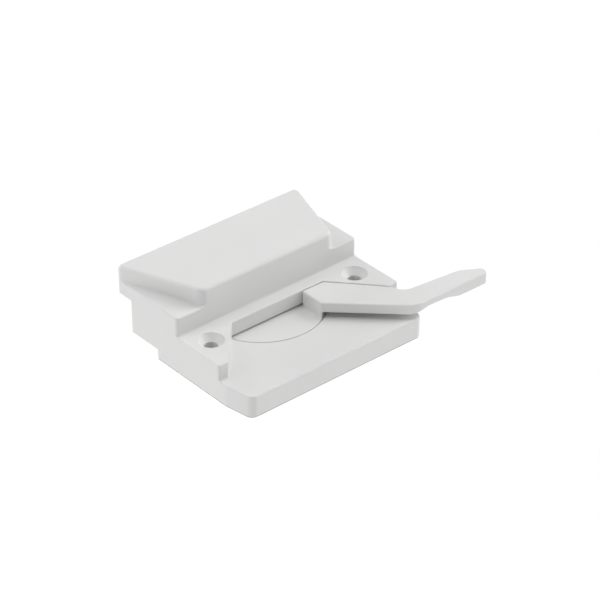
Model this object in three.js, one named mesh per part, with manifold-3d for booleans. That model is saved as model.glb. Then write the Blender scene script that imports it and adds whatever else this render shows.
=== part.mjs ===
// Stair gate latch: a surface-mounted sweep-lever latch in white moulded plastic.
//
// A stepped housing is screwed down through the two countersunk holes in its wings. The lever
// sweeps across the recess between the wings. Its disc runs under the deck and turns a square
// spindle, and the spindle turns a steel hook cam that comes out through a slot in the rear face.
//
// Millimetres. The origin is where the lever's turning axis meets the mounting plane.
// +X runs to the right, towards the lever's tip, +Y to the rear and +Z up.
import * as THREE from 'three';
import { mergeVertices } from 'three/addons/utils/BufferGeometryUtils.js';
import Module from 'manifold-3d';

const wasm = await Module();
wasm.setup();

// ---------------------------------------------------------------- driving dimensions
const gap = 0.3; // between pieces that touch

// Housing, its tiers: each height is taken from the tier below
const bodyWidth = 83.8;
const bodyDepth = 65.2; // front face to rear face
const baseHeight = 8.6; // above the mounting plane
const deckRise = 6.4; // above the base
const shoulderRise = 7.8; // above the deck
const padRise = 7.3; // above the shoulder, at the pad's front
const padFall = 1.2; // from the pad's front to its rear
const wall = 2.4; // side walls
const roof = 2.2; // top walls

// Housing, distances along Y measured from the turning axis or from the faces named
const axisToRear = 22.4;
const axisToShoulder = 4.2;
const axisToRecessWall = 9.1;
const axisToWingFront = 27.4;
const overhangDepth = 8.2; // past the rear face
const overhangRise = 2.2; // the overhang's lower face, above the deck
const stepDepth = 14.8; // raised part of the underside, from the rear face
const stepHeight = 3.85;
const taperLength = 12.0; // the sides draw in over this length at the front
const taperInset = 2.0;
const padFrontInset = 11.4; // pad's front corner, in from the body's side
const padSideStraight = 0.6; // flush with the body's side, just ahead of the rear corner

// Housing, rounding
const frontCornerRadius = 3.0;
const wingCornerRadius = 1.0;
const recessCornerRadius = 1.0;
const shoulderCornerRadius = 1.3;
const rearCornerRadius = 1.9;
const padCornerRadius = 4.0;
const padEdgeFillet = 1.7;
const edgeFillet = 0.7;
const footFillet = 1.0;
const sharpCorner = 0.3;

// Recess between the wings, where the lever sweeps
const wingLand = 4.1; // width of each wing's front face
const recessHalfWidth = 21.3; // along the recess wall

// Fixing holes in the wings
const fixingInset = 8.3; // in from the body's side
const fixingAhead = 12.85; // in front of the turning axis
const fixingHoleRadius = 2.5;
const fixingHeadRadius = 5.0;
const fixingBossWall = 2.4;

// Lever and its disc
const discRadius = 23.55;
const discThickness = 3.0;
const discHeadroom = 0.8; // between the disc and the deck above it
const discKeepSide = 8.0; // the disc is cut back beyond this, where no pose shows it
const discHubRadius = 11.0;
const armThickness = 3.95;
const leverClearance = 0.4; // to the recess walls
const headInnerFace = 11.3; // X of the head's inner face
const armWidthAtHead = 14.3;
const armWidthAtBend = 12.3;
const armTaperLength = 26.0; // between those two widths
const tipPastSide = 30.3;
const tipPastFront = 0.6;
const tipWidthAtBend = 10.3;
const tipWidthAtShoulder = 7.7;
const tipShoulder = 8.1; // back from the tip's end
const tipNose = 2.8; // width of the tip's blunt end
const tipNoseSlant = 1.2; // the blunt end leans back by this much at its inner corner
const waistShift = 2.8; // sideways, from the wing's corner to the bend
const archLift = 1.4; // the underside rises by this much beside the body
const archStart = -6.3; // from the body's side, to where the underside starts to rise
const archTop = 0.6;
const archEnd = 9.5;
const archEndLift = 1.05;
const tipThickness = 4.6;
const tipRampEnd = 15.6; // past the body's side
const leverEdgeFillet = 0.6;
const leverLowerEdge = 0.1;
const headCornerRadius = 0.5;
const innerBendRadius = 9;
const outerBendRadius = 5;
const waistRadius = 1.5;
const tipShoulderRadius = 6;
const tipCornerRadius = 1.4;

// Spindle stack
const shankSize = 6.0; // across the square's flats
const spindleFlangeRadius = 4.7;
const spindleFlangeThickness = 1.0;
const lowerJournalRadius = 2.0;
const upperJournalRadius = 1.75;
const upperJournalLength = 5.4;
const bushWall = 0.7;
const bushFlangeThickness = 0.7;
const bushLength = 2.9;

// Cam
const camThickness = 2.8;
const camHubWall = 2.1; // outside the square's corners
const camFlatDepth = 0.7;
const hookProjection = 7.8; // past the rear face
const hookThickness = 3.2;
const hookReach = 24; // degrees that the hook goes past the cam's centre line
const camArmInner = 3.5;
const camArmOuter = 6.5;
const slotMargin = 3.0; // beside the hook's sweep

// Wave washer
const washerRadius = 4.6;
const washerBore = 2.2;
const washerThickness = 0.25;
const washerWave = 0.12;
const washerWaves = 3;

// Detent spring
const springThickness = 0.5;
const springWidth = 2.6;
const springFreeEnd = -4.6; // Y of the end that bears on the cam's hub
const springHeldEnd = 17.6;
const springBlockWidth = 4.8;
const springBlockStart = 7.4;
const springScrewPitch = 5.6;
const springScrewFirst = 9.8; // Y of the first screw
const springScrewRadius = 0.8;
const springScrewHeadRadius = 1.3;
const springScrewHead = 0.9;
const springScrewLength = 4.4;

// Base plate and its screws
const plateThickness = 2.4;
const plateScrewRadius = 1.2;
const plateScrewHeadRadius = 2.5;
const plateScrewLength = 6.9;
const plateBossRadius = 3.2;
const plateScrewFrontInset = 8.5; // front pair, in from the body's front face
const plateScrewSideInset = 13.6; // front pair, in from the body's side
const plateScrewRearY = 0.5; // rear pair
const plateScrewRearSide = 6.7;
const headSink = 0.15; // screw heads lie this far inside the mounting plane
const driveRadius = 0.9;
const driveDepth = 0.6;

// ---------------------------------------------------------------- derived places
const halfWidth = bodyWidth / 2;
const rearY = axisToRear;
const frontY = axisToRear - bodyDepth;
const wingFrontY = -axisToWingFront;
const recessWallY = -axisToRecessWall;
const shoulderY = -axisToShoulder;
const overhangY = rearY + overhangDepth;
const stepY = rearY - stepDepth;
const stepInnerY = stepY - wall;

const deckHeight = baseHeight + deckRise;
const shoulderHeight = deckHeight + shoulderRise;
const padHeightFront = shoulderHeight + padRise;
const padHeightRear = padHeightFront - padFall;
const overhangUnderside = deckHeight + overhangRise;

const discTop = baseHeight;
const discBottom = discTop - discThickness;
const deckUnderside = discTop + discHeadroom;
const rotorFloor = discBottom - gap;
const camBottom = discTop + gap;
const camTop = camBottom + camThickness;
const deckCeiling = deckHeight - roof;
const baseCeiling = baseHeight - wall;
const shoulderCeiling = shoulderHeight - roof;

const camRadius = rearY + hookProjection;
const camHubRadius = shankSize / Math.SQRT2 + camHubWall;
const slotHalfWidth = Math.sqrt(camRadius ** 2 - (rearY - wall) ** 2) + slotMargin;
const fixingX = halfWidth - fixingInset;
const above = 60; // clear of everything
const below = 2; // a cut starts this far outside the face it enters

// Flat sides that stand for a full circle
const smallSides = 24;
const roundSides = 40;
const holeSides = 48;
const discSides = 96;

// ---------------------------------------------------------------- solids
const { Manifold, Mesh: SolidMesh } = wasm;

function toSolid(geometry) {
  const bare = geometry.index ? geometry.clone() : mergeVertices(geometry.clone());
  bare.deleteAttribute('normal');
  bare.deleteAttribute('uv');
  const merged = mergeVertices(bare);
  return new Manifold(
    new SolidMesh({
      numProp: 3,
      vertProperties: new Float32Array(merged.attributes.position.array),
      triVerts: new Uint32Array(merged.index.array),
    }),
  );
}

function toGeometry(solid) {
  const { vertProperties, triVerts } = solid.getMesh();
  const geometry = new THREE.BufferGeometry();
  geometry.setAttribute('position', new THREE.BufferAttribute(vertProperties, 3));
  geometry.setIndex(new THREE.BufferAttribute(triVerts, 1));
  geometry.computeVertexNormals();
  return geometry;
}

const join = (...solids) => solids.reduce((sum, solid) => sum.add(solid));

function block([x0, x1], [y0, y1], [z0, z1]) {
  const geometry = new THREE.BoxGeometry(x1 - x0, y1 - y0, z1 - z0);
  return toSolid(geometry.translate((x0 + x1) / 2, (y0 + y1) / 2, (z0 + z1) / 2));
}

// A turned piece about a vertical axis: radius and height at each point of its section.
function turned(section, x = 0, y = 0, sides = roundSides) {
  const points = section.map(([radius, z]) => new THREE.Vector2(radius, z));
  const geometry = new THREE.LatheGeometry(points, sides);
  return toSolid(geometry.rotateX(Math.PI / 2).translate(x, y, 0));
}

function rod(radius, z0, z1, x = 0, y = 0, sides = roundSides) {
  return turned([[0, z0], [radius, z0], [radius, z1], [0, z1]], x, y, sides);
}

// A front view in the X-Z plane, extruded along the depth.
function acrossDepth(points, y0, y1) {
  const shape = new THREE.Shape(points.map(([x, z]) => new THREE.Vector2(x, z)));
  const geometry = new THREE.ExtrudeGeometry(shape, { depth: y1 - y0, bevelEnabled: false });
  return toSolid(geometry.rotateX(Math.PI / 2).translate(0, y1, 0));
}

// Points round an outline of [x, y, radius] corners, taken anticlockwise, with the whole
// outline moved inwards by inset. Every inset gives the same number of points.
const cornerSteps = 5;
const leastRadius = 0.06;
function outlinePoints(corners, inset) {
  return corners.flatMap(([x, y, radius], i) => {
    const corner = new THREE.Vector2(x, y);
    const [beforeX, beforeY] = corners.at(i - 1);
    const [afterX, afterY] = corners[(i + 1) % corners.length];
    const arriving = corner.clone().sub(new THREE.Vector2(beforeX, beforeY)).normalize();
    const leaving = new THREE.Vector2(afterX, afterY).sub(corner).normalize();
    const turn = Math.atan2(arriving.cross(leaving), arriving.dot(leaving));
    const side = Math.sign(turn);
    const inward = new THREE.Vector2(-arriving.y, arriving.x);
    const inwardAfter = new THREE.Vector2(-leaving.y, leaving.x);
    const shift = inset / (1 + inward.dot(inwardAfter));
    corner.addScaledVector(inward, shift).addScaledVector(inwardAfter, shift);
    const bend = Math.max(radius - side * inset, leastRadius);
    const start = corner.clone().addScaledVector(arriving, -bend * Math.tan(Math.abs(turn) / 2));
    const centre = start.clone().addScaledVector(inward, side * bend);
    return Array.from({ length: cornerSteps + 1 }, (_, step) =>
      start.clone().rotateAround(centre, (turn * step) / cornerSteps),
    );
  });
}

// A solid stacked from one outline: each level is [height, inset], and a height may be a
// function of Y, which tilts that level.
function stacked(corners, levels) {
  const rings = levels.map(([height, inset]) =>
    outlinePoints(corners, inset).map((point) => {
      const z = typeof height === 'function' ? height(point.y) : height;
      return new THREE.Vector3(point.x, point.y, z);
    }),
  );
  const count = rings[0].length;
  const flat = (ring) => ring.map((point) => new THREE.Vector2(point.x, point.y));
  const index = [];
  for (let level = 0; level + 1 < rings.length; level += 1) {
    for (let i = 0; i < count; i += 1) {
      const a = level * count + i;
      const b = level * count + ((i + 1) % count);
      index.push(a, b, b + count, a, b + count, a + count);
    }
  }
  const top = (rings.length - 1) * count;
  for (const [a, b, c] of THREE.ShapeUtils.triangulateShape(flat(rings[0]), [])) {
    index.push(a, c, b);
  }
  for (const [a, b, c] of THREE.ShapeUtils.triangulateShape(flat(rings.at(-1)), [])) {
    index.push(top + a, top + b, top + c);
  }
  const geometry = new THREE.BufferGeometry().setFromPoints(rings.flat());
  geometry.setIndex(index);
  return toSolid(geometry);
}

// Levels of a quarter-round edge that ends at the given height.
const filletSteps = 4;
function topEdge(height, radius) {
  const at = (drop) => (typeof height === 'function' ? (y) => height(y) - drop : height - drop);
  return Array.from({ length: filletSteps + 1 }, (_, step) => {
    const angle = (step / filletSteps) * (Math.PI / 2);
    return [at(radius * (1 - Math.sin(angle))), radius * (1 - Math.cos(angle))];
  });
}

// Levels of a quarter-round foot that spreads onto the face at the given height.
function footEdge(height, radius) {
  return Array.from({ length: filletSteps + 1 }, (_, step) => {
    const angle = (step / filletSteps) * (Math.PI / 2);
    return [height + radius * (1 - Math.cos(angle)), -radius * (1 - Math.sin(angle))];
  });
}

// ---------------------------------------------------------------- outlines in plan
const mirrored = (half) => [
  ...half,
  ...half.map(([x, y, radius]) => [-x, y, radius]).reverse(),
];

const baseOutline = mirrored([
  [halfWidth - taperInset, frontY, frontCornerRadius],
  [halfWidth, frontY + taperLength, taperLength],
  [halfWidth, rearY, sharpCorner],
]);

const deckOutline = [
  [-halfWidth, wingFrontY, wingCornerRadius],
  [-halfWidth + wingLand, wingFrontY, sharpCorner],
  [-recessHalfWidth, recessWallY, recessCornerRadius],
  [recessHalfWidth, recessWallY, recessCornerRadius],
  [halfWidth - wingLand, wingFrontY, sharpCorner],
  [halfWidth, wingFrontY, wingCornerRadius],
  [halfWidth, rearY, sharpCorner],
  [-halfWidth, rearY, sharpCorner],
];

const shoulderOutline = (backY, backRadius) => mirrored([
  [halfWidth, shoulderY, shoulderCornerRadius],
  [halfWidth, backY, backRadius],
]);

const padOutline = mirrored([
  [halfWidth - padFrontInset, shoulderY, padCornerRadius],
  [halfWidth, overhangY - rearCornerRadius - padSideStraight, sharpCorner],
  [halfWidth, overhangY, rearCornerRadius],
]);

const padCore = mirrored([
  [halfWidth - padFrontInset, shoulderY, sharpCorner],
  [halfWidth, overhangY, sharpCorner],
]);

const padTop = (y) => THREE.MathUtils.mapLinear(
  y,
  shoulderY,
  overhangY,
  padHeightFront,
  padHeightRear,
);

// ---------------------------------------------------------------- housing
function housingOuter() {
  const base = stacked(baseOutline, [[0, 0], ...topEdge(baseHeight, edgeFillet)]);
  const deck = stacked(deckOutline, [[wall, 0], ...topEdge(deckHeight, edgeFillet / 2)]);
  const shoulder = stacked(shoulderOutline(rearY, sharpCorner), [
    [wall, 0],
    [overhangUnderside + wall, 0],
  ]);
  const head = stacked(shoulderOutline(overhangY, rearCornerRadius), [
    [overhangUnderside, 0],
    ...topEdge(shoulderHeight, edgeFillet),
  ]);
  const pad = stacked(padOutline, [
    [overhangUnderside + wall, 0],
    ...topEdge(padTop, padEdgeFillet),
  ]);
  const padFoot = stacked(padOutline, [
    [overhangUnderside + wall, -footFillet],
    ...footEdge(shoulderHeight, footFillet),
  ]);
  const shoulderFoot = stacked(shoulderOutline(rearY, sharpCorner), [
    [wall, -footFillet],
    ...footEdge(deckHeight, footFillet),
  ]);
  const deckFoot = stacked(deckOutline, [
    [wall, -footFillet],
    ...footEdge(baseHeight, footFillet),
  ]);
  const underStep = block(
    [-halfWidth - below, halfWidth + below],
    [stepY, above],
    [-below, stepHeight],
  );
  const tiers = join(base, deck, shoulder, head, pad);
  const headPlan = shoulderOutline(overhangY, rearCornerRadius);
  const inPlan = (outline, from) => stacked(outline, [[from, 0], [above, 0]]);
  const feet = join(
    padFoot.intersect(inPlan(headPlan, shoulderHeight / 2)),
    shoulderFoot.intersect(inPlan(deckOutline, deckHeight / 2)),
    deckFoot.intersect(inPlan(baseOutline, baseHeight / 2)),
  );
  return tiers.add(feet).subtract(underStep);
}

function housingCavity() {
  const side = [-halfWidth - below, halfWidth + below];
  const base = stacked(baseOutline, [[-below, wall], [baseCeiling, wall]]);
  const baseInside = base.intersect(block(side, [-above, stepInnerY], [-below, above]));
  const deckInside = stacked(deckOutline, [[rotorFloor, wall], [deckCeiling, wall]]);
  const shoulderInside = stacked(shoulderOutline(rearY, sharpCorner), [
    [deckCeiling - gap, wall],
    [shoulderCeiling, wall],
  ]);
  const headInside = stacked(shoulderOutline(overhangY, rearCornerRadius), [
    [overhangUnderside + roof, wall],
    [shoulderCeiling, wall],
  ]);
  const padInside = stacked(padCore, [
    [overhangUnderside + roof, wall],
    [(y) => padTop(y) - roof, wall],
  ]);
  return join(baseInside, deckInside, shoulderInside, headInside, padInside);
}

const plateScrews = [-1, 1].flatMap((hand) => [
  { x: hand * (halfWidth - plateScrewSideInset), y: frontY + plateScrewFrontInset },
  { x: hand * (halfWidth - plateScrewRearSide), y: plateScrewRearY },
]);
const springScrews = [0, 1].map((step) => springScrewFirst + step * springScrewPitch);

const springFace = -(camHubRadius + gap); // X of the spring's face beside the hub
const springBlockX = springFace - springThickness - gap;
const springZ = (camBottom + camTop) / 2 + gap;

function alongX(radius, x0, x1, y, z) {
  const geometry = new THREE.CylinderGeometry(radius, radius, x1 - x0, smallSides);
  return toSolid(geometry.rotateZ(Math.PI / 2).translate((x0 + x1) / 2, y, z));
}

function buildHousing() {
  const outer = housingOuter();
  const rotorRoom = rod(discRadius + gap, rotorFloor, deckUnderside, 0, 0, discSides).intersect(
    block([-above, above], [-above, rearY - wall], [0, above]),
  );
  const hubRoom = rod(camHubRadius + gap, rotorFloor, deckCeiling);
  const slot = block(
    [-slotHalfWidth, slotHalfWidth],
    [rearY - 2 * wall, above],
    [rotorFloor, camTop + 3 * gap],
  );

  const fixingBosses = [-1, 1].map((hand) =>
    rod(fixingHoleRadius + fixingBossWall, 0, deckHeight - roof / 2, hand * fixingX, -fixingAhead),
  );
  const screwBosses = plateScrews.map(({ x, y }) =>
    rod(plateBossRadius, plateThickness + gap, deckHeight - roof / 2, x, y),
  );
  const pivotBoss = rod(spindleFlangeRadius + gap, deckCeiling, above);
  const springBlock = block(
    [springBlockX - springBlockWidth, springBlockX],
    [springBlockStart, springHeldEnd + wall],
    [camBottom, above],
  );
  const bosses = join(...fixingBosses, ...screwBosses, pivotBoss, springBlock).intersect(outer);

  const fixingHoles = [-1, 1].map((hand) =>
    turned(
      [
        [0, -below],
        [fixingHoleRadius, -below],
        [fixingHoleRadius, deckHeight - (fixingHeadRadius - fixingHoleRadius)],
        [fixingHeadRadius, deckHeight],
        [fixingHeadRadius, deckHeight + below],
        [0, deckHeight + below],
      ],
      hand * fixingX,
      -fixingAhead,
      holeSides,
    ),
  );
  const screwHoles = plateScrews.map(({ x, y }) =>
    rod(
      plateScrewRadius + gap,
      plateThickness,
      headSink + plateScrewLength + gap,
      x,
      y,
      smallSides,
    ),
  );
  const bushBore = rod(
    upperJournalRadius + bushWall + 2 * gap,
    camTop,
    camTop + upperJournalLength + 2 * gap,
  );
  const springHoles = springScrews.map((y) =>
    alongX(
      springScrewRadius + gap,
      springBlockX - springScrewLength,
      springBlockX + below,
      y,
      springZ,
    ),
  );
  return outer
    .subtract(join(housingCavity(), rotorRoom))
    .add(bosses)
    .subtract(join(hubRoom, slot, bushBore, ...fixingHoles, ...screwHoles, ...springHoles));
}

// ---------------------------------------------------------------- lever
// The arm's outer edge follows the recess's right wall. Its inner edge draws in towards the
// bend, and past the front of the body the arm turns to run along X.
const recessCorner = new THREE.Vector2(recessHalfWidth, recessWallY);
const wingCorner = new THREE.Vector2(halfWidth - wingLand, wingFrontY);
const wallDirection = wingCorner.clone().sub(recessCorner).normalize();
const awayFromWall = new THREE.Vector2(wallDirection.y, -wallDirection.x);
const outerEdgeStart = recessCorner.clone().addScaledVector(awayFromWall, leverClearance);

function pointAtY(start, direction, y) {
  return start.clone().addScaledVector(direction, (y - start.y) / direction.y);
}

function pointAtX(start, direction, x) {
  return start.clone().addScaledVector(direction, (x - start.x) / direction.x);
}

const headBackY = recessWallY - leverClearance;
const headCorner = pointAtY(outerEdgeStart, wallDirection, headBackY);
const waist = pointAtY(outerEdgeStart, wallDirection, wingFrontY);
const innerAtHead = headCorner.clone().addScaledVector(awayFromWall, armWidthAtHead);
const innerAtBend = headCorner
  .clone()
  .addScaledVector(wallDirection, armTaperLength)
  .addScaledVector(awayFromWall, armWidthAtBend);
const innerDirection = innerAtBend.clone().sub(innerAtHead).normalize();
const tipInnerY = frontY - tipPastFront;
const headInner = pointAtX(innerAtHead, innerDirection, headInnerFace);
const innerBend = pointAtY(innerAtHead, innerDirection, tipInnerY);
const tipX = halfWidth + tipPastSide;

const leverOutline = [
  [headInner.x, headInner.y, headCornerRadius],
  [innerBend.x, innerBend.y, innerBendRadius],
  [tipX - tipNoseSlant, tipInnerY - leverClearance, tipCornerRadius],
  [tipX, tipInnerY + tipNose, tipCornerRadius],
  [tipX - tipShoulder, tipInnerY + tipWidthAtShoulder, tipShoulderRadius],
  [waist.x + waistShift, tipInnerY + tipWidthAtBend, outerBendRadius],
  [waist.x, waist.y, waistRadius],
  [headCorner.x, headCorner.y, headCornerRadius],
  [headInnerFace, headBackY, headCornerRadius],
];

function buildLever() {
  const armUnderside = deckHeight - armThickness;
  const tipUnderside = deckHeight - tipThickness;
  const arm = stacked(leverOutline, [
    [tipUnderside, leverLowerEdge],
    [tipUnderside + leverLowerEdge, 0],
    ...topEdge(deckHeight, leverEdgeFillet),
  ]);
  const underArm = acrossDepth(
    [
      [-above, 0],
      [halfWidth + tipRampEnd, 0],
      [halfWidth + tipRampEnd, tipUnderside],
      [halfWidth + archEnd, armUnderside + archEndLift],
      [halfWidth + archTop, armUnderside + archLift],
      [halfWidth + archStart, armUnderside],
      [-above, armUnderside],
    ],
    -2 * above,
    above,
  );
  const riser = stacked(leverOutline, [
    [discBottom, 0],
    [armUnderside + gap, 0],
  ]).intersect(rod(discRadius, discBottom, deckHeight, 0, 0, discSides));
  const cutBack = block([-above, discKeepSide], [-discKeepSide, above], [0, above]).subtract(
    rod(discHubRadius, 0, above, 0, 0, holeSides),
  );
  const disc = rod(discRadius, discBottom, discTop, 0, 0, discSides).subtract(cutBack);
  const hole = shankSize / 2 + gap;
  const shankHole = block([-hole, hole], [-hole, hole], [0, above]);
  const flangeRoom = rod(spindleFlangeRadius + gap, 0, discBottom + spindleFlangeThickness);
  return join(arm.subtract(underArm), riser, disc).subtract(join(shankHole, flangeRoom));
}

// ---------------------------------------------------------------- spindle, bushes and washer
const flangeBottom = discBottom - gap;
const flangeTop = flangeBottom + spindleFlangeThickness;
const lowerBushTop = flangeBottom - gap;
const lowerBushSeat = lowerBushTop - bushFlangeThickness;
const lowerBushBottom = lowerBushTop - bushLength;

function buildSpindle() {
  const journals = turned([
    [0, lowerBushBottom + gap],
    [lowerJournalRadius, lowerBushBottom + gap],
    [lowerJournalRadius, flangeBottom],
    [spindleFlangeRadius, flangeBottom],
    [spindleFlangeRadius, flangeTop - gap],
    [upperJournalRadius, flangeTop - gap],
    [upperJournalRadius, camTop + upperJournalLength],
    [0, camTop + upperJournalLength],
  ]);
  const half = shankSize / 2;
  return journals.add(block([-half, half], [-half, half], [flangeTop - 2 * gap, camTop]));
}

function buildLowerBush() {
  const bore = lowerJournalRadius + gap;
  const outside = bore + bushWall;
  return turned([
    [bore, lowerBushBottom],
    [outside, lowerBushBottom],
    [outside, lowerBushSeat],
    [spindleFlangeRadius, lowerBushSeat],
    [spindleFlangeRadius, lowerBushTop],
    [bore, lowerBushTop],
    [bore, lowerBushBottom],
  ]);
}

function buildUpperBush() {
  const bore = upperJournalRadius + gap;
  const outside = bore + bushWall;
  const bottom = deckCeiling + gap;
  const top = camTop + upperJournalLength;
  return turned([[bore, bottom], [outside, bottom], [outside, top], [bore, top], [bore, bottom]]);
}

// A thin ring that rises and falls round its circumference.
function buildWaveWasher() {
  const steps = holeSides;
  const middle = (camTop + deckCeiling) / 2;
  const positions = [];
  const index = [];
  const section = [
    [washerBore, -washerThickness / 2],
    [washerRadius, -washerThickness / 2],
    [washerRadius, washerThickness / 2],
    [washerBore, washerThickness / 2],
  ];
  const around = section.length;
  for (let step = 0; step < steps; step += 1) {
    const angle = (step / steps) * 2 * Math.PI;
    const lift = middle + washerWave * Math.sin(washerWaves * angle);
    for (const [radius, height] of section) {
      positions.push(radius * Math.cos(angle), radius * Math.sin(angle), lift + height);
    }
    for (let side = 0; side < around; side += 1) {
      const next = (side + 1) % around;
      const here = step * around;
      const ahead = ((step + 1) % steps) * around;
      index.push(here + side, here + next, ahead + next, here + side, ahead + next, ahead + side);
    }
  }
  const geometry = new THREE.BufferGeometry();
  geometry.setAttribute('position', new THREE.Float32BufferAttribute(positions, 3));
  geometry.setIndex(index.reverse());
  return toSolid(geometry);
}

// ---------------------------------------------------------------- cam
function buildCam() {
  const hub = rod(camHubRadius, camBottom, camTop);
  const flat = camHubRadius - camFlatDepth;
  const flats = join(
    block([-above, -flat], [-above, above], [0, above]),
    block([-above, above], [-above, -flat], [0, above]),
  );
  const armEnd = block([-camArmInner, camArmOuter], [0, above], [camBottom, camTop]);
  const arm = armEnd.intersect(rod(camRadius, camBottom, camTop, 0, 0, discSides));

  const hookStart = Math.acos(camArmOuter / camRadius);
  const hookEnd = Math.PI / 2 + THREE.MathUtils.degToRad(hookReach);
  const shape = new THREE.Shape();
  shape.absarc(0, 0, camRadius, hookStart, hookEnd, false);
  shape.absarc(0, 0, camRadius - hookThickness, hookEnd, hookStart, true);
  shape.closePath();
  const hook = toSolid(
    new THREE.ExtrudeGeometry(shape, {
      depth: camThickness,
      bevelEnabled: false,
      curveSegments: smallSides,
    }).translate(0, 0, camBottom),
  );
  const hole = shankSize / 2 + gap;
  const shankHole = block([-hole, hole], [-hole, hole], [0, above]);
  return join(hub.subtract(flats), arm, hook).subtract(shankHole);
}

// ---------------------------------------------------------------- detent spring
function buildDetentSpring() {
  const leaf = block(
    [springFace - springThickness, springFace],
    [springFreeEnd, springHeldEnd],
    [springZ - springWidth / 2, springZ + springWidth / 2],
  );
  const holes = springScrews.map((y) =>
    alongX(springScrewRadius + gap, springFace - wall, springFace + wall, y, springZ),
  );
  return leaf.subtract(join(...holes));
}

function buildSpringScrew(y) {
  const seat = springFace + gap;
  const end = springBlockX - springScrewLength + gap;
  const shank = alongX(springScrewRadius, end, seat + gap, y, springZ);
  const head = alongX(springScrewHeadRadius, seat, seat + springScrewHead, y, springZ);
  const drive = block(
    [seat + springScrewHead / 2, seat + 2 * springScrewHead],
    [y - driveRadius, y + driveRadius],
    [springZ - gap / 2, springZ + gap / 2],
  );
  return join(shank, head).subtract(drive);
}

// ---------------------------------------------------------------- base plate and screws
function buildBasePlate() {
  const sheet = stacked(baseOutline, [[0, wall + gap], [plateThickness, wall + gap]]).intersect(
    block([-above, above], [-above, stepInnerY - gap], [0, plateThickness]),
  );
  const bushOutside = lowerJournalRadius + bushWall + gap;
  const boss = rod(stepInnerY - gap, plateThickness / 2, lowerBushSeat - gap);
  const bore = rod(bushOutside + gap, lowerBushBottom - gap, above);
  const bossHoles = [-1, 1].map((hand) =>
    rod(fixingHoleRadius + fixingBossWall + gap, -below, above, hand * fixingX, -fixingAhead),
  );
  const screwHoles = plateScrews.map(({ x, y }) => {
    const clear = plateScrewRadius + gap;
    const head = plateScrewHeadRadius + gap;
    const depth = headSink + plateScrewHeadRadius - plateScrewRadius;
    return turned(
      [[0, -below], [head, -below], [head, headSink], [clear, depth], [clear, above], [0, above]],
      x,
      y,
      smallSides,
    );
  });
  return sheet.add(boss).subtract(join(bore, ...bossHoles, ...screwHoles));
}

function buildPlateScrew({ x, y }) {
  const neck = headSink + plateScrewHeadRadius - plateScrewRadius;
  const end = headSink + plateScrewLength;
  const body = turned(
    [
      [0, headSink],
      [plateScrewHeadRadius, headSink],
      [plateScrewRadius, neck],
      [plateScrewRadius, end - plateScrewRadius],
      [0, end],
    ],
    x,
    y,
    smallSides,
  );
  const slots = [[driveRadius, gap], [gap, driveRadius]].map(([wide, narrow]) =>
    block([x - wide, x + wide], [y - narrow, y + narrow], [0, headSink + driveDepth]),
  );
  return body.subtract(join(...slots));
}

// ---------------------------------------------------------------- materials and scene
const whitePlastic = { color: 0xf2f2f0, roughness: 0.5, metalness: 0 };
const acetal = { color: 0xd9d6cc, roughness: 0.4, metalness: 0 };
const zincSteel = { color: 0xb9bdc2, roughness: 0.35, metalness: 1 };
const springSteel = { color: 0x8f9398, roughness: 0.3, metalness: 1 };
const screwSteel = { color: 0xa9acb0, roughness: 0.3, metalness: 1 };

const latch = new THREE.Group();

function addPiece(name, solid, look) {
  const mesh = new THREE.Mesh(toGeometry(solid), new THREE.MeshStandardMaterial(look));
  mesh.name = name;
  latch.add(mesh);
}

addPiece('housing', buildHousing(), whitePlastic);
addPiece('lever', buildLever(), whitePlastic);
addPiece('base_plate', buildBasePlate(), whitePlastic);
addPiece('spindle', buildSpindle(), zincSteel);
addPiece('cam', buildCam(), zincSteel);
addPiece('lower_bush', buildLowerBush(), acetal);
addPiece('upper_bush', buildUpperBush(), acetal);
addPiece('wave_washer', buildWaveWasher(), springSteel);
addPiece('detent_spring', buildDetentSpring(), springSteel);
springScrews.forEach((y, i) => {
  addPiece(`spring_screw_${i + 1}`, buildSpringScrew(y), screwSteel);
});
plateScrews.forEach((place, i) => {
  addPiece(`plate_screw_${i + 1}`, buildPlateScrew(place), screwSteel);
});

export default latch;
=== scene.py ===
"""Stair gate latch: finished surfaces, materials and studio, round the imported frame.

Solids are worked out in millimetres, in the frame's own axes, and scaled to metres once whole.
"""

import math

import bmesh
import bpy
from mathutils import Matrix, Vector


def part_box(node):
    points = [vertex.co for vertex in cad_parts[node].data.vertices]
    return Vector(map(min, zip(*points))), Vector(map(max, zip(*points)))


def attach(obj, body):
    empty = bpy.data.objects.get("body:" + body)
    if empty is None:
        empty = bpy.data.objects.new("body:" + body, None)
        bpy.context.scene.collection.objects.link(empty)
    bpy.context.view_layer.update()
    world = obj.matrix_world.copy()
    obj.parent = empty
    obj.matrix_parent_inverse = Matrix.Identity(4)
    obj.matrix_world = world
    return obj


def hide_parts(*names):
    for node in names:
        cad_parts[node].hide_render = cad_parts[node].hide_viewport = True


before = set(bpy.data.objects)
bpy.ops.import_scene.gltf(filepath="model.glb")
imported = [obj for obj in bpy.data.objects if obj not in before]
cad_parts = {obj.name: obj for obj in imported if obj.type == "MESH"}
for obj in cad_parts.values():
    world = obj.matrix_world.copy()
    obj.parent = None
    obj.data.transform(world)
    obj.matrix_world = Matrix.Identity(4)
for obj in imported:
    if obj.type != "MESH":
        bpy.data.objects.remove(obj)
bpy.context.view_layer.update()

MM = 0.001


def span(node):
    """A node's lowest and highest corners, in millimetres."""
    low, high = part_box(node)
    return low / MM, high / MM


# ---------------------------------------------------------------- sizes, in millimetres
housing_low, housing_high = span("housing")
lever_low, lever_high = span("lever")
plate_low, plate_high = span("base_plate")
cam_low, cam_high = span("cam")

GAP = 0.3
WALL = 2.4
ROOF = 2.2

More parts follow.
